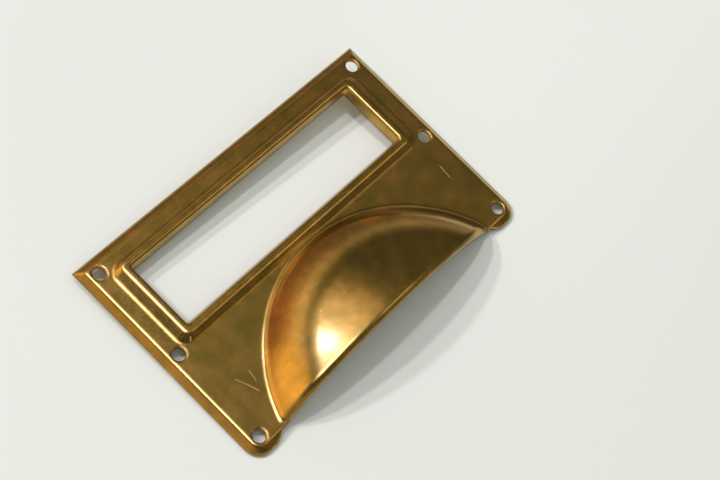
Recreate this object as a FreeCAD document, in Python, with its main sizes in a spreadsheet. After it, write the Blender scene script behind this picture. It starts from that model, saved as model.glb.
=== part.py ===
import FreeCAD, Part
import math
import os
import Sketcher

# A drawer pull with a label window, pressed from one brass sheet.
# The back lies on z = 0, +Z points away from the drawer front, +Y points to the label window
# and the origin is at the middle of the plate. All sizes are in millimetres and degrees.
# The pressing is an outer form less an inner form, which is the same form one sheet
# thickness further in, so that the wall is as thick everywhere.

SIZES = (
    # plate outline, measured on its lower edge, and the sheet it is pressed from
    ("plate_width", 96.6),
    ("plate_height", 59.8),
    ("sheet_thickness", 0.7),
    ("corner_round", 4.2),
    # bevelled border: how high the flat land stands and how wide the bevel is in plan
    ("land_height", 1.5),
    ("border_run", 1.9),
    ("border_edge", 0.25),
    ("border_bend", 1.0),
    # label window, measured on the crest and placed from the plate's sides and top edge
    ("window_side_gap", 10.55),
    ("window_top_gap", 7.55),
    ("window_height", 18.9),
    ("window_corner", 0.9),
    ("wall_run", 0.78),
    ("window_bend", 0.8),
    # raised moulding round the window: its flat crest, and the runs of its slopes in plan
    ("crest_rise", 1.2),
    ("crest_width", 1.75),
    ("side_run", 2.7),
    ("top_run", 0.7),
    ("low_run", 1.7),
    ("crest_corner", 1.4),
    ("crest_bend", 0.8),
    # cup: a dome turned about an upright axis, placed from the plate's sides and the window
    ("cup_height", 13.2),
    ("cup_side_gap", 7.4),
    ("cup_top_gap", 3.05),
    ("cup_foot_bend", 2.2),
    # slopes of the dome's meridian: where the crown ends, and at its steepest
    ("crown_slope", 18.0),
    ("flank_slope", 47.0),
    # mouth of the cup: its line above the plate's lower edge, its lean, its rolled lip and
    # the level brim that carries the lip out past the cup's foot
    ("mouth_rise", 1.6),
    ("mouth_lean", 8.0),
    ("lip_bend", 1.7),
    ("lip_end_gap", 1.6),
    ("brim_run", 2.0),
    # tabs beside the mouth: their width, and how far their curved ends run and fall
    ("tab_width", 9.5),
    ("tab_end_run", 4.7),
    ("tab_end_dip", 0.15),
    # screw holes, placed from the plate's edges
    ("hole_bore", 3.2),
    ("hole_side_gap", 4.3),
    ("hole_end_gap", 4.2),
    ("hole_edge_break", 0.15),
)

# Slight overlap that lets the cup's foot cross the land instead of only touching it
FOOT_DIP = 0.01
# Slope of the little bevels round the screw holes, and a whole turn
RIM_SLOPE = 45
WHOLE_TURN = 360
# How close two places count as the same one
NEAR = 0.001
NOTHING = "0"

doc = FreeCAD.newDocument("label_frame_pull")
sheet = doc.addObject("Spreadsheet::Sheet", "sizes")
for row, (alias, value) in enumerate(SIZES, start=1):
    sheet.set("A%d" % row, alias)
    sheet.set("B%d" % row, str(value))
    sheet.setAlias("B%d" % row, alias)
doc.recompute()

# Sizes that follow from the driving ones, as formulas
SIDE = "(sizes.plate_width / 2)"
TOP = "(sizes.plate_height / 2)"
CREST = "(sizes.land_height + sizes.crest_rise)"
BEVEL = "atan((sizes.land_height - sizes.border_edge) / sizes.border_run)"
WALL = "atan(sizes.wall_run / " + CREST + ")"
WINDOW_TOP = "(" + TOP + " - sizes.window_top_gap)"
WINDOW_LOW = "(" + WINDOW_TOP + " - sizes.window_height)"
REACH = "(" + SIDE + " - sizes.cup_side_gap)"
AXIS = "(" + WINDOW_LOW + " - sizes.cup_top_gap - " + REACH + ")"
MOUTH = "(sizes.mouth_rise - " + TOP + ")"

# The dome's meridian is a crown arc, a flank arc and a hollow foot arc, each tangent to the
# next. What the foot leaves of the reach and of the rise sets the radii of the other two.
CROWN_END = "(sizes.crown_slope * 1 deg)"
STEEPEST = "(sizes.flank_slope * 1 deg)"
REACH_LEFT = "(" + REACH + " - sizes.cup_foot_bend * sin(" + STEEPEST + "))"
RISE_LEFT = ("(sizes.cup_height - sizes.land_height + %s - sizes.cup_foot_bend * (1 - cos("
             % FOOT_DIP + STEEPEST + ")))")
FLANK_RUN = "(sin(" + STEEPEST + ") - sin(" + CROWN_END + "))"
FLANK_FALL = "(cos(" + CROWN_END + ") - cos(" + STEEPEST + "))"
CROWN_FALL = "(1 - cos(" + CROWN_END + "))"
SHARE = ("(sin(" + CROWN_END + ") * " + FLANK_FALL + " - " + FLANK_RUN + " * "
         + CROWN_FALL + ")")
CROWN_RADIUS = ("((" + REACH_LEFT + " * " + FLANK_FALL + " - " + FLANK_RUN + " * "
                + RISE_LEFT + ") / " + SHARE + ")")
FLANK_RADIUS = ("((sin(" + CROWN_END + ") * " + RISE_LEFT + " - " + CROWN_FALL + " * "
                + REACH_LEFT + ") / " + SHARE + ")")


def value_of(formula):
    """The number that a formula gives with the sheet's present sizes."""
    return float(sheet.evalExpression(formula))


def origin_plane(body, role):
    for feature in body.Origin.OriginFeatures:
        if feature.Role == role:
            return feature
    raise RuntimeError("no origin plane " + role)


def level_sketch(body, name, level):
    """A sketch parallel to the plate, at a height given as a formula."""
    sketch = body.newObject("Sketcher::SketchObject", name)
    sketch.AttachmentSupport = [(origin_plane(body, "XY_Plane"), "")]
    sketch.MapMode = "FlatFace"
    sketch.setExpression("AttachmentOffset.Base.z", level)
    return sketch


def bind(sketch, constraint, formula):
    """Add a constraint whose value follows a formula."""
    index = sketch.addConstraint(constraint)
    sketch.setExpression("Constraints[%d]" % index, formula)


def ring(sketch, right, top, bottom, upper_round, lower_round):
    """A rectangle about the upright axis, with rounds at its corners where a formula is given."""
    guess_x = value_of(right)
    guess_top = value_of(top)
    guess_bottom = value_of(bottom)
    upper = value_of(upper_round) if upper_round else 0.0
    lower = value_of(lower_round) if lower_round else 0.0
    point = FreeCAD.Vector
    top_line = sketch.addGeometry(Part.LineSegment(
        point(-guess_x + upper, guess_top, 0), point(guess_x - upper, guess_top, 0)))
    right_line = sketch.addGeometry(Part.LineSegment(
        point(guess_x, guess_top - upper, 0), point(guess_x, guess_bottom + lower, 0)))
    bottom_line = sketch.addGeometry(Part.LineSegment(
        point(guess_x - lower, guess_bottom, 0), point(-guess_x + lower, guess_bottom, 0)))
    left_line = sketch.addGeometry(Part.LineSegment(
        point(-guess_x, guess_bottom + lower, 0), point(-guess_x, guess_top - upper, 0)))
    corners = (
        (top_line, right_line, upper_round, guess_x - upper, guess_top - upper, 0.0),
        (right_line, bottom_line, lower_round, guess_x - lower, guess_bottom + lower, -90.0),
        (bottom_line, left_line, lower_round, -guess_x + lower, guess_bottom + lower, 180.0),
        (left_line, top_line, upper_round, -guess_x + upper, guess_top - upper, 90.0),
    )
    for before, after, rounding, x, y, start in corners:
        if not rounding:
            sketch.addConstraint(Sketcher.Constraint("Coincident", before, 2, after, 1))
            continue
        radius = value_of(rounding)
        circle = Part.Circle(point(x, y, 0), point(0, 0, 1), radius)
        arc = sketch.addGeometry(Part.ArcOfCircle(
            circle, math.radians(start), math.radians(start + 90.0)))
        sketch.addConstraint(Sketcher.Constraint("Tangent", before, 2, arc, 2))
        sketch.addConstraint(Sketcher.Constraint("Tangent", arc, 1, after, 1))
        bind(sketch, Sketcher.Constraint("Radius", arc, radius), rounding)
    sketch.addConstraint(Sketcher.Constraint("Horizontal", top_line))
    sketch.addConstraint(Sketcher.Constraint("Horizontal", bottom_line))
    sketch.addConstraint(Sketcher.Constraint("Vertical", right_line))
    sketch.addConstraint(Sketcher.Constraint("Vertical", left_line))
    bind(sketch, Sketcher.Constraint("DistanceX", -1, 1, right_line, 1, guess_x), right)
    bind(sketch, Sketcher.Constraint("DistanceX", left_line, 1, -1, 1, guess_x), right)
    bind(sketch, Sketcher.Constraint("DistanceY", -1, 1, top_line, 1, guess_top), top)
    bind(sketch, Sketcher.Constraint("DistanceY", -1, 1, bottom_line, 1, guess_bottom), bottom)


def window_ring(sketch, side, top, low, rounding):
    """The window's rectangle, grown by a formula at its sides, its top and its lower edge."""
    ring(sketch, SIDE + " - sizes.window_side_gap + " + side, WINDOW_TOP + " + " + top,
         WINDOW_LOW + " - (" + low + ")", rounding, rounding)


def level_edges(feature, height):
    """Names of a feature's edges that lie level at a height."""
    names = []
    for number, edge in enumerate(feature.Shape.Edges, start=1):
        box = edge.BoundBox
        if max(abs(box.ZMin - height), abs(box.ZMax - height)) < NEAR:
            names.append("Edge%d" % number)
    return names


def add_bend(body, name, base, names, radius):
    """A fillet of a given radius on the named edges."""
    bend = body.newObject("PartDesign::Fillet", name)
    bend.Base = (base, names)
    bend.setExpression("Radius", radius)
    doc.recompute()
    return bend


def add_plate(body, name, depth, base):
    """The bevelled plate: a pad whose upper edges are bevelled all round."""
    grown = "(" + base + ") / tan(" + BEVEL + ") - " + depth + " / sin(" + BEVEL + ")"
    outline = level_sketch(body, name + "_outline", "-(" + base + ")")
    ring(outline, SIDE + " + " + grown, TOP + " + " + grown, "-(" + TOP + " + " + grown + ")",
         None, "sizes.corner_round + " + grown)
    plate = body.newObject("PartDesign::Pad", name)
    plate.Profile = outline
    plate.setExpression("Length", "sizes.land_height + " + base + " - " + depth)
    doc.recompute()
    bevel = body.newObject("PartDesign::Chamfer", name + "_bevel")
    bevel.Base = (plate, level_edges(plate, plate.Shape.BoundBox.ZMax))
    bevel.ChamferType = "Two distances"
    fall = "(sizes.land_height + " + base + " - " + depth + " - sizes.border_edge)"
    bevel.setExpression("Size", fall)
    bevel.setExpression("Size2", fall + " / tan(" + BEVEL + ")")
    doc.recompute()
    return bevel


def add_moulding(body, name, depth):
    """The raised moulding: a loft from its foot on the land to its flat crest."""
    sections = []
    for part, level in (("foot", "sizes.land_height"), ("crest", CREST)):
        sketch = level_sketch(body, name + "_" + part, level + " - " + depth)
        outsets = []
        for run in ("sizes.side_run", "sizes.top_run", "sizes.low_run"):
            slope = "atan(sizes.crest_rise / " + run + ")"
            width = "sizes.crest_width - " + depth + " * tan(" + slope + " / 2)"
            outsets.append(width + " + " + run if part == "foot" else width)
        corner = "sizes.crest_corner"
        if part == "foot":
            corner += " + sizes.low_run"
        window_ring(sketch, outsets[0], outsets[1], outsets[2], corner)
        sections.append(sketch)
    moulding = body.newObject("PartDesign::AdditiveLoft", name + "_moulding")
    moulding.Profile = sections[0]
    moulding.Sections = [sections[1]]
    moulding.Ruled = True
    doc.recompute()
    return moulding


def add_window(body, name, depth):
    """The window, with its wall leaning in toward the back."""
    sketch = level_sketch(body, name + "_window_outline", CREST + " - " + depth)
    grown = depth + " * (1 / cos(" + WALL + ") - tan(" + WALL + "))"
    window_ring(sketch, grown, grown, grown, "sizes.window_corner + " + grown)
    window = body.newObject("PartDesign::Pocket", name + "_window")
    window.Profile = sketch
    window.setExpression("Length", CREST + " + sizes.border_edge")
    window.setExpression("TaperAngle", "-" + WALL)
    doc.recompute()
    return window


def add_dome(body, name, depth, brim):
    """The dome of the cup with a level brim round its foot, moved in by a depth."""
    point = FreeCAD.Vector
    crown = value_of(CROWN_RADIUS + " - " + depth)
    flank = value_of(FLANK_RADIUS + " - " + depth)
    foot = value_of("sizes.cup_foot_bend + " + depth)
    top = value_of("sizes.cup_height - " + depth)
    reach = value_of(REACH)
    level = value_of("sizes.land_height + sizes.cup_foot_bend - %s" % FOOT_DIP)
    outer = value_of(REACH + " + " + brim)
    below = value_of("sizes.lip_bend")
    crown_end = math.radians(90 - value_of("sizes.crown_slope"))
    steepest = math.radians(90 - value_of("sizes.flank_slope"))
    hub = value_of(CROWN_RADIUS + " - " + FLANK_RADIUS)
    flank_centre = point(hub * math.cos(crown_end), top - crown + hub * math.sin(crown_end), 0)
    foot_end = math.pi * 1.5 - math.asin(max(reach - outer, 0.0) / foot)
    end_level = level + foot * math.sin(foot_end)
    sketch = body.newObject("Sketcher::SketchObject", name + "_meridian")
    sketch.AttachmentSupport = [(origin_plane(body, "YZ_Plane"), "")]
    sketch.MapMode = "FlatFace"
    sketch.setExpression("AttachmentOffset.Base.x", AXIS)
    crown_arc = sketch.addGeometry(Part.ArcOfCircle(
        Part.Circle(point(0, top - crown, 0), point(0, 0, 1), crown), crown_end, math.pi / 2))
    flank_arc = sketch.addGeometry(Part.ArcOfCircle(
        Part.Circle(flank_centre, point(0, 0, 1), flank), steepest, crown_end))
    foot_arc = sketch.addGeometry(Part.ArcOfCircle(
        Part.Circle(point(reach, level, 0), point(0, 0, 1), foot),
        math.pi + steepest, foot_end))
    wall = sketch.addGeometry(Part.LineSegment(
        point(outer, end_level, 0), point(outer, -below, 0)))
    base = sketch.addGeometry(Part.LineSegment(point(outer, -below, 0), point(0, -below, 0)))
    axis = sketch.addGeometry(Part.LineSegment(point(0, -below, 0), point(0, top, 0)))
    if outer > reach:
        flat = sketch.addGeometry(Part.LineSegment(
            point(reach, end_level, 0), point(outer, end_level, 0)))
        sketch.addConstraint(Sketcher.Constraint("Coincident", foot_arc, 2, flat, 1))
        sketch.addConstraint(Sketcher.Constraint("Coincident", flat, 2, wall, 1))
        sketch.addConstraint(Sketcher.Constraint("Horizontal", flat))
        sketch.addConstraint(Sketcher.Constraint("Vertical", foot_arc, 3, foot_arc, 2))
    else:
        sketch.addConstraint(Sketcher.Constraint("Coincident", foot_arc, 2, wall, 1))
    sketch.addConstraint(Sketcher.Constraint("PointOnObject", crown_arc, 3, -2))
    sketch.addConstraint(Sketcher.Constraint("PointOnObject", crown_arc, 2, -2))
    sketch.addConstraint(Sketcher.Constraint("Tangent", flank_arc, 2, crown_arc, 1))
    sketch.addConstraint(Sketcher.Constraint("Tangent", foot_arc, 1, flank_arc, 1))
    sketch.addConstraint(Sketcher.Constraint("Vertical", wall))
    sketch.addConstraint(Sketcher.Constraint("Coincident", wall, 2, base, 1))
    sketch.addConstraint(Sketcher.Constraint("Horizontal", base))
    sketch.addConstraint(Sketcher.Constraint("PointOnObject", base, 2, -2))
    sketch.addConstraint(Sketcher.Constraint("Coincident", axis, 1, base, 2))
    sketch.addConstraint(Sketcher.Constraint("Coincident", axis, 2, crown_arc, 2))
    bind(sketch, Sketcher.Constraint("Radius", crown_arc, crown), CROWN_RADIUS + " - " + depth)
    bind(sketch, Sketcher.Constraint("DistanceY", -1, 1, crown_arc, 2, top),
         "sizes.cup_height - " + depth)
    bind(sketch, Sketcher.Constraint("Radius", flank_arc, flank), FLANK_RADIUS + " - " + depth)
    bind(sketch, Sketcher.Constraint("Radius", foot_arc, foot), "sizes.cup_foot_bend + " + depth)
    bind(sketch, Sketcher.Constraint("DistanceX", -1, 1, foot_arc, 3, reach), REACH)
    bind(sketch, Sketcher.Constraint("DistanceY", -1, 1, foot_arc, 3, level),
         "sizes.land_height + sizes.cup_foot_bend - %s" % FOOT_DIP)
    bind(sketch, Sketcher.Constraint("DistanceX", -1, 1, wall, 1, outer), REACH + " + " + brim)
    bind(sketch, Sketcher.Constraint("DistanceY", base, 2, -1, 1, below), "sizes.lip_bend")
    dome = body.newObject("PartDesign::Revolution", name)
    dome.Profile = sketch
    dome.ReferenceAxis = (sketch, ["V_Axis"])
    dome.Midplane = True
    dome.Angle = WHOLE_TURN
    doc.recompute()
    return dome


def mouth_sketch(body, name, depth):
    """A sketch that leans back with the cup's mouth, its origin on the mouth's line."""
    sketch = body.newObject("Sketcher::SketchObject", name)
    sketch.AttachmentSupport = [(origin_plane(body, "XY_Plane"), "")]
    sketch.MapMode = "FlatFace"
    sketch.AttachmentOffset = FreeCAD.Placement(FreeCAD.Vector(), FreeCAD.Rotation(
        FreeCAD.Vector(1, 0, 0), -value_of("sizes.mouth_lean")))
    sketch.setExpression("AttachmentOffset.Rotation.Angle", "-sizes.mouth_lean * 1 deg")
    sketch.setExpression("AttachmentOffset.Base.y", MOUTH + " + " + depth)
    return sketch


def cut_through(body, name, sketch):
    cut = body.newObject("PartDesign::Pocket", name)
    cut.Profile = sketch
    cut.Midplane = True
    cut.setExpression("Length", "sizes.plate_width")
    doc.recompute()
    return cut


def cut_dome(body, name, depth):
    """Cut away all of a dome that lies in front of the leaning mouth."""
    sketch = mouth_sketch(body, name + "_mouth_plan", depth)
    ring(sketch, SIDE, NOTHING, "-sizes.plate_width", None, None)
    return cut_through(body, name + "_mouth", sketch)


def level_back(body):
    """Cut the cup off level with the plate's back."""
    sketch = level_sketch(body, "back_plan", NOTHING)
    ring(sketch, SIDE, TOP, "-sizes.plate_width", None, None)
    back = body.newObject("PartDesign::Pocket", "level_back")
    back.Profile = sketch
    back.setExpression("Length", "2 * sizes.lip_bend")
    doc.recompute()


def mouth_edges(mouth, depth):
    """Names of the dome's edges round its mouth."""
    line = value_of(MOUTH + " + " + depth)
    slope = math.tan(math.radians(value_of("sizes.mouth_lean")))
    names = []
    for number, edge in enumerate(mouth.Shape.Edges, start=1):
        ends = [vertex.Point for vertex in edge.Vertexes]
        on_plane = all(abs(end.y - line - end.z * slope) < NEAR for end in ends)
        if on_plane and max(end.z for end in ends) > NEAR:
            names.append("Edge%d" % number)
    return names


def cut_tabs(body, name, depth):
    """Cut the plate back to the mouth's line, with the tabs' ends curved down beside it."""
    point = FreeCAD.Vector
    half_size = SIDE + " - sizes.tab_width"
    drop_size = "sizes.mouth_rise + sizes.tab_end_dip"
    half = value_of(half_size)
    run = value_of("sizes.tab_end_run")
    drop = value_of(drop_size)
    end = half + run
    centre_up = (run ** 2 - drop ** 2) / (2 * drop)
    turn = math.atan2(centre_up, run)
    far = value_of(TOP)
    sketch = mouth_sketch(body, name + "_tab_plan", depth)
    lip = sketch.addGeometry(Part.LineSegment(point(-half, 0, 0), point(half, 0, 0)))
    right_arc = sketch.addGeometry(Part.ArcOfCircle(
        Part.Circle(point(end, centre_up, 0), point(0, 0, 1), centre_up + drop),
        math.pi + turn, math.pi * 1.5))
    left_arc = sketch.addGeometry(Part.ArcOfCircle(
        Part.Circle(point(-end, centre_up, 0), point(0, 0, 1), centre_up + drop),
        math.pi * 1.5, math.pi * 2 - turn))
    right_side = sketch.addGeometry(Part.LineSegment(point(end, -drop, 0), point(end, -far, 0)))
    bottom = sketch.addGeometry(Part.LineSegment(point(end, -far, 0), point(-end, -far, 0)))
    left_side = sketch.addGeometry(Part.LineSegment(point(-end, -far, 0), point(-end, -drop, 0)))
    joins = ((lip, 2, right_arc, 1), (right_arc, 2, right_side, 1), (right_side, 2, bottom, 1),
             (bottom, 2, left_side, 1), (left_side, 2, left_arc, 1), (left_arc, 2, lip, 1))
    for join in joins:
        sketch.addConstraint(Sketcher.Constraint("Coincident", *join))
    sketch.addConstraint(Sketcher.Constraint("Horizontal", bottom))
    for upright in (right_side, left_side):
        sketch.addConstraint(Sketcher.Constraint("Vertical", upright))
    sketch.addConstraint(Sketcher.Constraint("Vertical", right_arc, 3, right_arc, 2))
    sketch.addConstraint(Sketcher.Constraint("Vertical", left_arc, 3, left_arc, 1))
    sketch.addConstraint(Sketcher.Constraint("PointOnObject", lip, 1, -1))
    sketch.addConstraint(Sketcher.Constraint("Symmetric", lip, 1, lip, 2, -2))
    sketch.addConstraint(Sketcher.Constraint("Symmetric", right_side, 1, left_side, 2, -2))
    bind(sketch, Sketcher.Constraint("DistanceX", -1, 1, lip, 2, half), half_size)
    bind(sketch, Sketcher.Constraint("DistanceX", lip, 2, right_side, 1, run),
         "sizes.tab_end_run")
    bind(sketch, Sketcher.Constraint("DistanceY", right_side, 1, lip, 2, drop), drop_size)
    bind(sketch, Sketcher.Constraint("DistanceY", bottom, 1, -1, 1, far), TOP)
    return cut_through(body, name + "_tabs", sketch)


def join_bodies(body, name, kind, other):
    joined = body.newObject("PartDesign::Boolean", name)
    joined.Type = kind
    joined.addObject(other)
    doc.recompute()
    return joined


def form(name, depth, base):
    """The whole pressing as a solid block, each face moved in by a depth."""
    cup = doc.addObject("PartDesign::Body", name + "_cup_form")
    add_dome(cup, name + "_cup", depth, "sizes.brim_run")
    mouth = cut_dome(cup, name + "_cup", depth)
    if name == "outer":
        add_bend(cup, "lip_bends", mouth, mouth_edges(mouth, depth), "sizes.lip_bend")
        level_back(cup)
    body = doc.addObject("PartDesign::Body", name + "_form")
    bevel = add_plate(body, name + "_plate", depth, base)
    if name == "outer":
        add_bend(body, "border_bends", bevel, level_edges(bevel, bevel.Shape.BoundBox.ZMax),
                 "sizes.border_bend")
    moulding = add_moulding(body, name, depth)
    if name == "outer":
        add_bend(body, "crest_bends", moulding,
                 level_edges(moulding, moulding.Shape.BoundBox.ZMax), "sizes.crest_bend")
    cut_tabs(body, name, depth)
    join_bodies(body, name + "_whole", "Fuse", cup)
    window = add_window(body, name, depth)
    if name == "outer":
        names = level_edges(window, value_of(CREST))
        inside = value_of(SIDE + " - sizes.window_side_gap") + NEAR
        high = value_of(WINDOW_TOP) + NEAR
        rim = [edge for edge in names
               if window.Shape.getElement(edge).BoundBox.XMax < inside
               and window.Shape.getElement(edge).BoundBox.YMax < high
               and window.Shape.getElement(edge).BoundBox.XMin > -inside
               and window.Shape.getElement(edge).BoundBox.YMin > value_of(WINDOW_LOW) - NEAR]
        add_bend(body, "window_bends", window, rim, "sizes.window_bend")
    return body


def add_holes(body):
    """Six screw holes, three on each side, and the little bevels round their outer rims."""
    steps = (("screw_holes", "sizes.hole_bore / 2", None),
             ("hole_rims", "sizes.hole_bore / 2 + sizes.hole_edge_break",
              "sizes.hole_edge_break"))
    for name, radius, depth in steps:
        sketch = level_sketch(body, name + "_plan", "sizes.land_height")
        spot_x = SIDE + " - sizes.hole_side_gap"
        spot_y = TOP + " - sizes.hole_end_gap"
        for across in (-1, 1):
            for along in (-1, 0, 1):
                spot = FreeCAD.Vector(value_of(spot_x) * across, value_of(spot_y) * along, 0)
                size = value_of(radius)
                hole = sketch.addGeometry(Part.Circle(spot, FreeCAD.Vector(0, 0, 1), size))
                bind(sketch, Sketcher.Constraint("Radius", hole, size), radius)
                bind(sketch, Sketcher.Constraint("DistanceX", -1, 1, hole, 3, spot.x),
                     "%d * (" % across + spot_x + ")")
                if along == 0:
                    sketch.addConstraint(Sketcher.Constraint("PointOnObject", hole, 3, -1))
                else:
                    bind(sketch, Sketcher.Constraint("DistanceY", -1, 1, hole, 3, spot.y),
                         "%d * (" % along + spot_y + ")")
        holes = body.newObject("PartDesign::Pocket", name)
        holes.Profile = sketch
        if depth:
            holes.setExpression("Length", depth)
            holes.TaperAngle = -RIM_SLOPE
        else:
            holes.Type = "ThroughAll"
        doc.recompute()
    return holes


outer = form("outer", NOTHING, NOTHING)
inner = form("inner", "sizes.sheet_thickness", "2 * sizes.border_edge")
opening = doc.addObject("PartDesign::Body", "opening_form")
add_dome(opening, "opening", "sizes.lip_bend", "(-sizes.lip_end_gap)")

join_bodies(outer, "hollow", "Cut", inner)
join_bodies(outer, "open_mouth", "Cut", opening)
outer.Tip = add_holes(outer)
outer.Label = "label_frame_pull"
outer.Placement = FreeCAD.Placement()
doc.recompute()

for item in doc.Objects:
    if "Invalid" in item.State or "Error" in item.State:
        raise RuntimeError("failed feature " + item.Name)
if outer.Shape.isNull() or not outer.Shape.isValid():
    raise RuntimeError("the pull is not a valid shape")
print("solids", len(outer.Shape.Solids), "volume", round(outer.Shape.Volume, 2))
os.makedirs("parts", exist_ok=True)
outer.Shape.exportStep("parts/" + outer.Label + ".step")
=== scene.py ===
import math

import bmesh
import bpy
from mathutils import Euler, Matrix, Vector

mm = 0.001


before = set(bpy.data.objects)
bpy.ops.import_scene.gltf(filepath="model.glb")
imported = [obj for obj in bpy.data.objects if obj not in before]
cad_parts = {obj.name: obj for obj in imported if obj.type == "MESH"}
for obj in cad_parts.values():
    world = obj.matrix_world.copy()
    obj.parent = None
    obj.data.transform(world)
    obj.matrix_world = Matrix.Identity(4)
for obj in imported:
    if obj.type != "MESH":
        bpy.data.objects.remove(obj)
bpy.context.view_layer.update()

scene = bpy.context.scene
scene.view_settings.view_transform = "Standard"


# Camera: it looks down on the pull from its left, turned so that the cup's mouth falls lower right

camera = {
    "place": (-178.62, -44.53, 334.34),  # mm from the middle of the plate's back
    "turn": (25.197, -16.750, -47.651),  # degrees about X, Y and Z
    "lens": 80.0,                        # mm, like the two below
    "sensor": 36.0,
    "nearest": 10.0,
}


def placeCamera(settings):
    data = bpy.data.cameras.new("camera")
    data.lens = settings["lens"]
    data.sensor_width = settings["sensor"]
    data.clip_start = settings["nearest"] * mm
    view = bpy.data.objects.new("camera", data)
    view.rotation_euler = Euler([math.radians(a) for a in settings["turn"]], "XYZ")
    view.location = Vector(settings["place"]) * mm
    scene.collection.objects.link(view)
    scene.camera = view


placeCamera(camera)
print("camera placed")


# Node helpers. Where one takes a value, that is a number or a colour, or another node's output

def newMaterial(name):
    material = bpy.data.materials.new(name)
    material.use_nodes = True
    nodes = material.node_tree.nodes
    links = material.node_tree.links
    nodes.clear()
    output = nodes.new("ShaderNodeOutputMaterial")
    shader = nodes.new("ShaderNodeBsdfPrincipled")
    links.new(shader.outputs["BSDF"], output.inputs["Surface"])
    return material, nodes, links, shader


def feed(links, value, socket):
    if isinstance(value, bpy.types.NodeSocket):
        links.new(value, socket)
    else:
        socket.default_value = value


def mixNode(nodes, links, factor, first, second):
    blend = nodes.new("ShaderNodeMix")
    blend.data_type = "RGBA"
    links.new(factor, blend.inputs["Factor"])
    feed(links, first, blend.inputs["A"])
    feed(links, second, blend.inputs["B"])
    return blend.outputs["Result"]


def mathNode(nodes, links, operation, first, second):
    step = nodes.new("ShaderNodeMath")
    step.operation = operation
    feed(links, first, step.inputs[0])
    feed(links, second, step.inputs[1])
    return step.outputs["Value"]


def vectorNode(nodes, links, operation, *values):
    step = nodes.new("ShaderNodeVectorMath")
    step.operation = operation
    for number, value in enumerate(values):
        feed(links, value, step.inputs[number])
    return step


def rangeNode(nodes, links, value, given, wanted=(0.0, 1.0)):
    # Stretches the given range to the wanted one, and stops at its ends
    spread = nodes.new("ShaderNodeMapRange")
    for name, end in zip(("From Min", "From Max", "To Min", "To Max"), (*given, *wanted)):
        spread.inputs[name].default_value = end
    links.new(value, spread.inputs["Value"])
    return spread.outputs["Result"]


def noiseNode(nodes, links, place, scale, detail, roughness):
    noise = nodes.new("ShaderNodeTexNoise")
    noise.inputs["Scale"].default_value = scale
    noise.inputs["Detail"].default_value = detail
    noise.inputs["Roughness"].default_value = roughness
    links.new(place, noise.inputs["Vector"])
    return noise.outputs["Fac"]


# Aged brass: a half-gloss metal, darkened in patches, with a fine grain and old scratches

brass = {
    "bright": (0.80, 0.50, 0.13, 1.0),
    "dull": (0.54, 0.38, 0.08, 1.0),
    "patch": (170.0, 6.0, 0.6),   # noise that places the dull patches: scale per m, detail, roughness
    "patchRange": (0.35, 0.62),   # the noise where it starts to dull, and where it is dull
    "grain": (3000.0, 3.0, 0.5),  # noise of the grain, in the same order
    "grainRange": (0.3, 0.7),     # the noise where the brass is glossiest, and where it is most scuffed
    "gloss": 0.17,
    "scuffed": 0.23,
    "dimple": 0.0002,             # mm
    "dimpleStrength": 0.5,
    "softEdge": 1.0,              # mm
    "softEdgeSamples": 8,
    "lacquer": 0.6,
    "lacquerGloss": 0.09,
    "scratched": (0.80, 0.62, 0.30, 1.0),
    # fine marks, each from one place to another, with its half width: mm
    "marks": (((-34.7, -13.4), (-35.2, -16.3), 0.09),
              ((-38.6, -12.8), (-37.4, -15.4), 0.08),
              ((-37.4, -15.4), (-36.3, -18.3), 0.11),
              ((-14.8, -15.3), (-14.4, -15.0), 0.20),
              ((-7.5, -15.7), (-7.3, -15.5), 0.14),
              ((-39.8, 0.5), (-39.3, 1.1), 0.20),
              ((41.0, -8.0), (40.6, -12.0), 0.09)),
}


def markNode(nodes, links, place, start, end, halfWidth):
    # How near a point is to one scratch, seen square on: 1 on its line, 0 past its half width
    away = Vector((*start, 0.0)) * mm
    along = Vector((*end, 0.0)) * mm - away
    flat = vectorNode(nodes, links, "MULTIPLY_ADD", place, (1.0, 1.0, 0.0), -away).outputs["Vector"]
    share = vectorNode(nodes, links, "DOT_PRODUCT", flat, along / along.length_squared)
    kept = nodes.new("ShaderNodeClamp")
    links.new(share.outputs["Value"], kept.inputs["Value"])
    foot = vectorNode(nodes, links, "SCALE", along)
    links.new(kept.outputs["Result"], foot.inputs["Scale"])
    gap = vectorNode(nodes, links, "DISTANCE", flat, foot.outputs["Vector"])
    return rangeNode(nodes, links, gap.outputs["Value"], (halfWidth * mm, 0.0))


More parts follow.
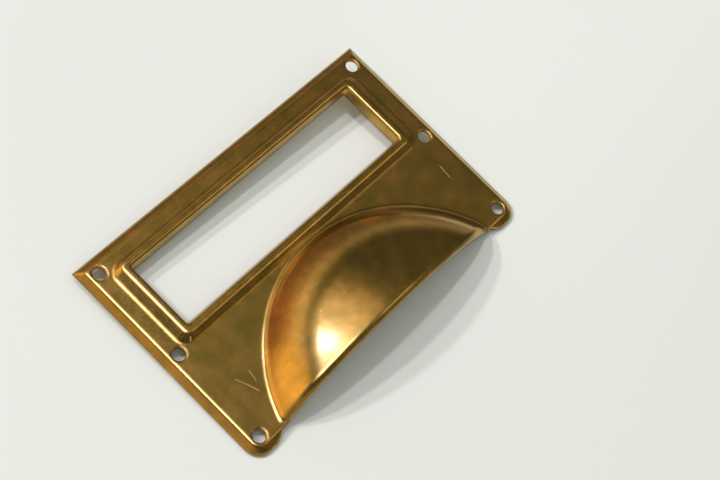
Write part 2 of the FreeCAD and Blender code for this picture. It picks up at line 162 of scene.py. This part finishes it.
def brassMaterial(settings):
    material, nodes, links, shader = newMaterial("agedBrass")
    shader.inputs["Coat Weight"].default_value = settings["lacquer"]
    shader.inputs["Coat Roughness"].default_value = settings["lacquerGloss"]
    place = nodes.new("ShaderNodeTexCoord").outputs["Object"]
    patches = noiseNode(nodes, links, place, *settings["patch"])
    dulled = rangeNode(nodes, links, patches, settings["patchRange"])
    tint = mixNode(nodes, links, dulled, settings["bright"], settings["dull"])
    # A scratch scatters light, so there the surface turns from mirror to matt
    marks = [markNode(nodes, links, place, *mark) for mark in settings["marks"]]
    marked = marks[0]
    for mark in marks[1:]:
        marked = mathNode(nodes, links, "MAXIMUM", marked, mark)
    tint = mixNode(nodes, links, marked, tint, settings["scratched"])
    links.new(tint, shader.inputs["Base Color"])
    mirror = mathNode(nodes, links, "SUBTRACT", 1.0, marked)
    links.new(mirror, shader.inputs["Metallic"])
    grain = noiseNode(nodes, links, place, *settings["grain"])
    rough = rangeNode(nodes, links, grain, settings["grainRange"], (settings["gloss"], settings["scuffed"]))
    links.new(rough, shader.inputs["Roughness"])
    # The sheet's bends are softened first, and the grain lies on them, under the lacquer
    edges = nodes.new("ShaderNodeBevel")
    edges.samples = settings["softEdgeSamples"]
    edges.inputs["Radius"].default_value = settings["softEdge"] * mm
    links.new(edges.outputs["Normal"], shader.inputs["Coat Normal"])
    bump = nodes.new("ShaderNodeBump")
    bump.inputs["Strength"].default_value = settings["dimpleStrength"]
    bump.inputs["Distance"].default_value = settings["dimple"] * mm
    links.new(grain, bump.inputs["Height"])
    links.new(edges.outputs["Normal"], bump.inputs["Normal"])
    links.new(bump.outputs["Normal"], shader.inputs["Normal"])
    return material


agedBrass = brassMaterial(brass)
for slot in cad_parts["label_frame_pull"].material_slots:
    slot.material = agedBrass
print("brass given to the pull")


# Floor: a pale matt sheet. The pull touches it at its lower corners and stands clear of it at the
# upper right, so the sheet falls away there

floorSheet = {
    "size": 3.0,                # m
    "segments": 60,
    "evenShare": 0.05,          # the less of this, the denser the grid is in the middle
    "drop": 1.90,               # mm below the middle of the plate
    "fall": (0.0237, 0.0576),   # toward +X and toward +Y
    "twist": 0.0008,            # per mm, so that the fall grows toward the upper right corner
    "levelsOff": (60.0, 50.0),  # mm from the middle along X and Y, where fall and twist end
    "levelPower": 4,            # the more of this, the more suddenly they end
    "settle": (0.012, 80.0),    # a slow fall outward, and the mm over which it sets in
    "colour": (0.86, 0.86, 0.84, 1.0),
    "roughness": 0.9,
    # painted shade in reflections only: the dark colour that the brass mirrors in place of the sheet
    "mirroredShade": (0.14, 0.11, 0.09, 1.0),
    "dimming": 0.35,            # how far the mirrored sheet darkens toward that inside its rim
    "rim": (0.11, 0.19),        # m from the middle, between which the rest of it darkens
}


def eased(distance, end, power):
    # Follows the distance near the middle, and comes to rest at the end
    return distance / (1.0 + (abs(distance) / end) ** power) ** (1.0 / power)


def floorMesh(settings):
    shape = bmesh.new()
    segments = settings["segments"]
    bmesh.ops.create_grid(shape, x_segments=segments, y_segments=segments, size=1.0)
    half = settings["size"] / 2
    even = settings["evenShare"]
    power = settings["levelPower"]
    acrossFall, alongFall = settings["fall"]
    acrossEnd, alongEnd = settings["levelsOff"]
    slope, start = settings["settle"]
    for vertex in shape.verts:
        x, y = [half * (even * part + (1.0 - even) * part ** 3) for part in vertex.co.xy]
        across = eased(x / mm, acrossEnd, power)
        along = eased(y / mm, alongEnd, power)
        outward = math.hypot(x / mm, y / mm, start) - start
        depth = settings["drop"] + acrossFall * across + alongFall * along + slope * outward
        depth += settings["twist"] * across * along
        vertex.co = (x, y, -depth * mm)
    for face in shape.faces:
        face.smooth = True
    mesh = bpy.data.meshes.new("floor")
    shape.to_mesh(mesh)
    shape.free()
    return mesh


def floorMaterial(settings):
    material, nodes, links, shader = newMaterial("paleFloor")
    shader.inputs["Roughness"].default_value = settings["roughness"]
    # Painted shade, seen only in the brass's reflections: the sheet is dimmed near the pull, and past its
    # rim it is painted as a dark room
    place = nodes.new("ShaderNodeTexCoord").outputs["Object"]
    reach = vectorNode(nodes, links, "LENGTH", place).outputs["Value"]
    far = rangeNode(nodes, links, reach, settings["rim"], (settings["dimming"], 1.0))
    kind = nodes.new("ShaderNodeLightPath")
    mirrored = mathNode(nodes, links, "MULTIPLY", far, kind.outputs["Is Glossy Ray"])
    tint = mixNode(nodes, links, mirrored, settings["colour"], settings["mirroredShade"])
    links.new(tint, shader.inputs["Base Color"])
    return material


def layFloor(settings):
    floor = bpy.data.objects.new("floor", floorMesh(settings))
    floor.data.materials.append(floorMaterial(settings))
    scene.collection.objects.link(floor)


layFloor(floorSheet)
print("floor laid")


# Light: three lamps overhead, which the brass doesn't mirror, and a room that only the brass mirrors.
# Its walls are dim, with a warm side and a few glowing patches

lamps = {
    # each lamp: the way to it, its width in m, its watts
    "each": (((0.85, 6.84, 12.5), 0.22, 13.2),
             ((-6.58, 12.3, 12.5), 0.15, 17.4),
             ((-8.93, 16.8, 12.5), 0.15, 20.0)),
    "distance": 2.6,  # m
    "colour": (1.0, 0.96, 0.95),
}
room = {
    "daylight": (0.44, 0.475, 0.435, 1.0),  # what matt surfaces see
    "backdrop": (0.80, 0.79, 0.77, 1.0),    # what the camera sees past the floor
    "slant": (0.426, -0.218, 0.878),        # the walls' bands lie square to this direction
    # The bands of the dim walls and of the warm side: how far up that direction, and the colour
    "dark": ((0.0, (0.15, 0.09, 0.07)), (0.16, (0.15, 0.10, 0.07)), (0.28, (0.20, 0.15, 0.12)),
             (0.4, (0.38, 0.31, 0.26)), (0.5, (0.14, 0.12, 0.09)), (0.6, (0.06, 0.055, 0.045)),
             (0.8, (0.09, 0.08, 0.06)), (1.0, (0.13, 0.115, 0.08))),
    "bright": ((0.0, (0.36, 0.16, 0.10)), (0.16, (0.52, 0.30, 0.18)), (0.28, (0.95, 0.66, 0.42)),
               (0.4, (1.15, 0.90, 0.66)), (0.52, (0.42, 0.34, 0.24)), (0.62, (0.16, 0.14, 0.11)),
               (1.0, (0.14, 0.13, 0.10))),
    "toward": (-0.40, 0.85, 0.34),          # the middle of the warm side
    "brightEdge": (0.62, 0.98),             # cosines of its rim and of its full warmth
    # Glowing patches: toward, cosines of the rim and of the full glow, colour
    "patches": (((0.45, -0.89, 0.0), (0.78, 0.93), (0.12, 0.095, 0.06, 1.0)),
                ((-0.90, 0.10, 0.42), (0.80, 0.95), (0.46, 0.33, 0.20, 1.0)),
                ((-0.56, 0.60, 0.57), (0.90, 0.965), (1.15, 0.72, 0.28, 1.0)),
                ((0.25, 0.20, 0.95), (0.950, 0.990), (0.20, 0.18, 0.12, 1.0)),
                ((0.47, -0.34, 0.815), (0.985, 0.995), (1.2, 0.9, 0.7, 1.0)),
                ((-0.02, 0.14, 0.99), (0.967, 0.988), (4.4, 4.3, 6.0, 1.0)),
                ((0.17, 0.45, 0.875), (0.962, 0.997), (1.05, 0.82, 0.66, 1.0)),
                ((0.056, 0.448, 0.892), (0.9974, 0.9992), (9.5, 10.0, 20.0, 1.0))),
}


def hangLamps(settings):
    for number, (toward, width, watts) in enumerate(settings["each"]):
        data = bpy.data.lights.new("lamp%d" % number, "AREA")
        data.shape = "DISK"
        data.size = width
        data.energy = watts
        data.color = settings["colour"]
        lamp = bpy.data.objects.new("lamp%d" % number, data)
        lamp.location = Vector(toward).normalized() * settings["distance"]
        lamp.rotation_euler = Vector(toward).to_track_quat("Z", "Y").to_euler()
        lamp.visible_glossy = False
        scene.collection.objects.link(lamp)


def wallNode(nodes, links, height, stops):
    ramp = nodes.new("ShaderNodeValToRGB")
    for place, colour in stops[1:-1]:
        ramp.color_ramp.elements.new(place)
    for element, (place, colour) in zip(ramp.color_ramp.elements, stops):
        element.position = place
        element.color = (*colour, 1.0)
    links.new(height, ramp.inputs["Fac"])
    return ramp.outputs["Color"]


def facingNode(nodes, links, place, toward, edge=(0.0, 1.0)):
    # How nearly a direction points toward the one given, from 0 at the edge's first cosine to 1
    facing = vectorNode(nodes, links, "DOT_PRODUCT", place, toward)
    return rangeNode(nodes, links, facing.outputs["Value"], edge)


def makeRoom(settings):
    world = bpy.data.worlds.new("room")
    scene.world = world
    world.use_nodes = True
    nodes = world.node_tree.nodes
    links = world.node_tree.links
    place = nodes.new("ShaderNodeTexCoord").outputs["Generated"]
    height = facingNode(nodes, links, place, settings["slant"])
    side = facingNode(nodes, links, place, settings["toward"], settings["brightEdge"])
    dark = wallNode(nodes, links, height, settings["dark"])
    bright = wallNode(nodes, links, height, settings["bright"])
    walls = mixNode(nodes, links, side, dark, bright)
    for toward, edge, glow in settings["patches"]:
        patch = facingNode(nodes, links, place, Vector(toward).normalized(), edge)
        walls = mixNode(nodes, links, patch, walls, glow)
    kind = nodes.new("ShaderNodeLightPath")
    lit = mixNode(nodes, links, kind.outputs["Is Glossy Ray"], settings["daylight"], walls)
    seen = mixNode(nodes, links, kind.outputs["Is Camera Ray"], lit, settings["backdrop"])
    links.new(seen, nodes["Background"].inputs["Color"])


hangLamps(lamps)
makeRoom(room)
print("lamps and room ready")
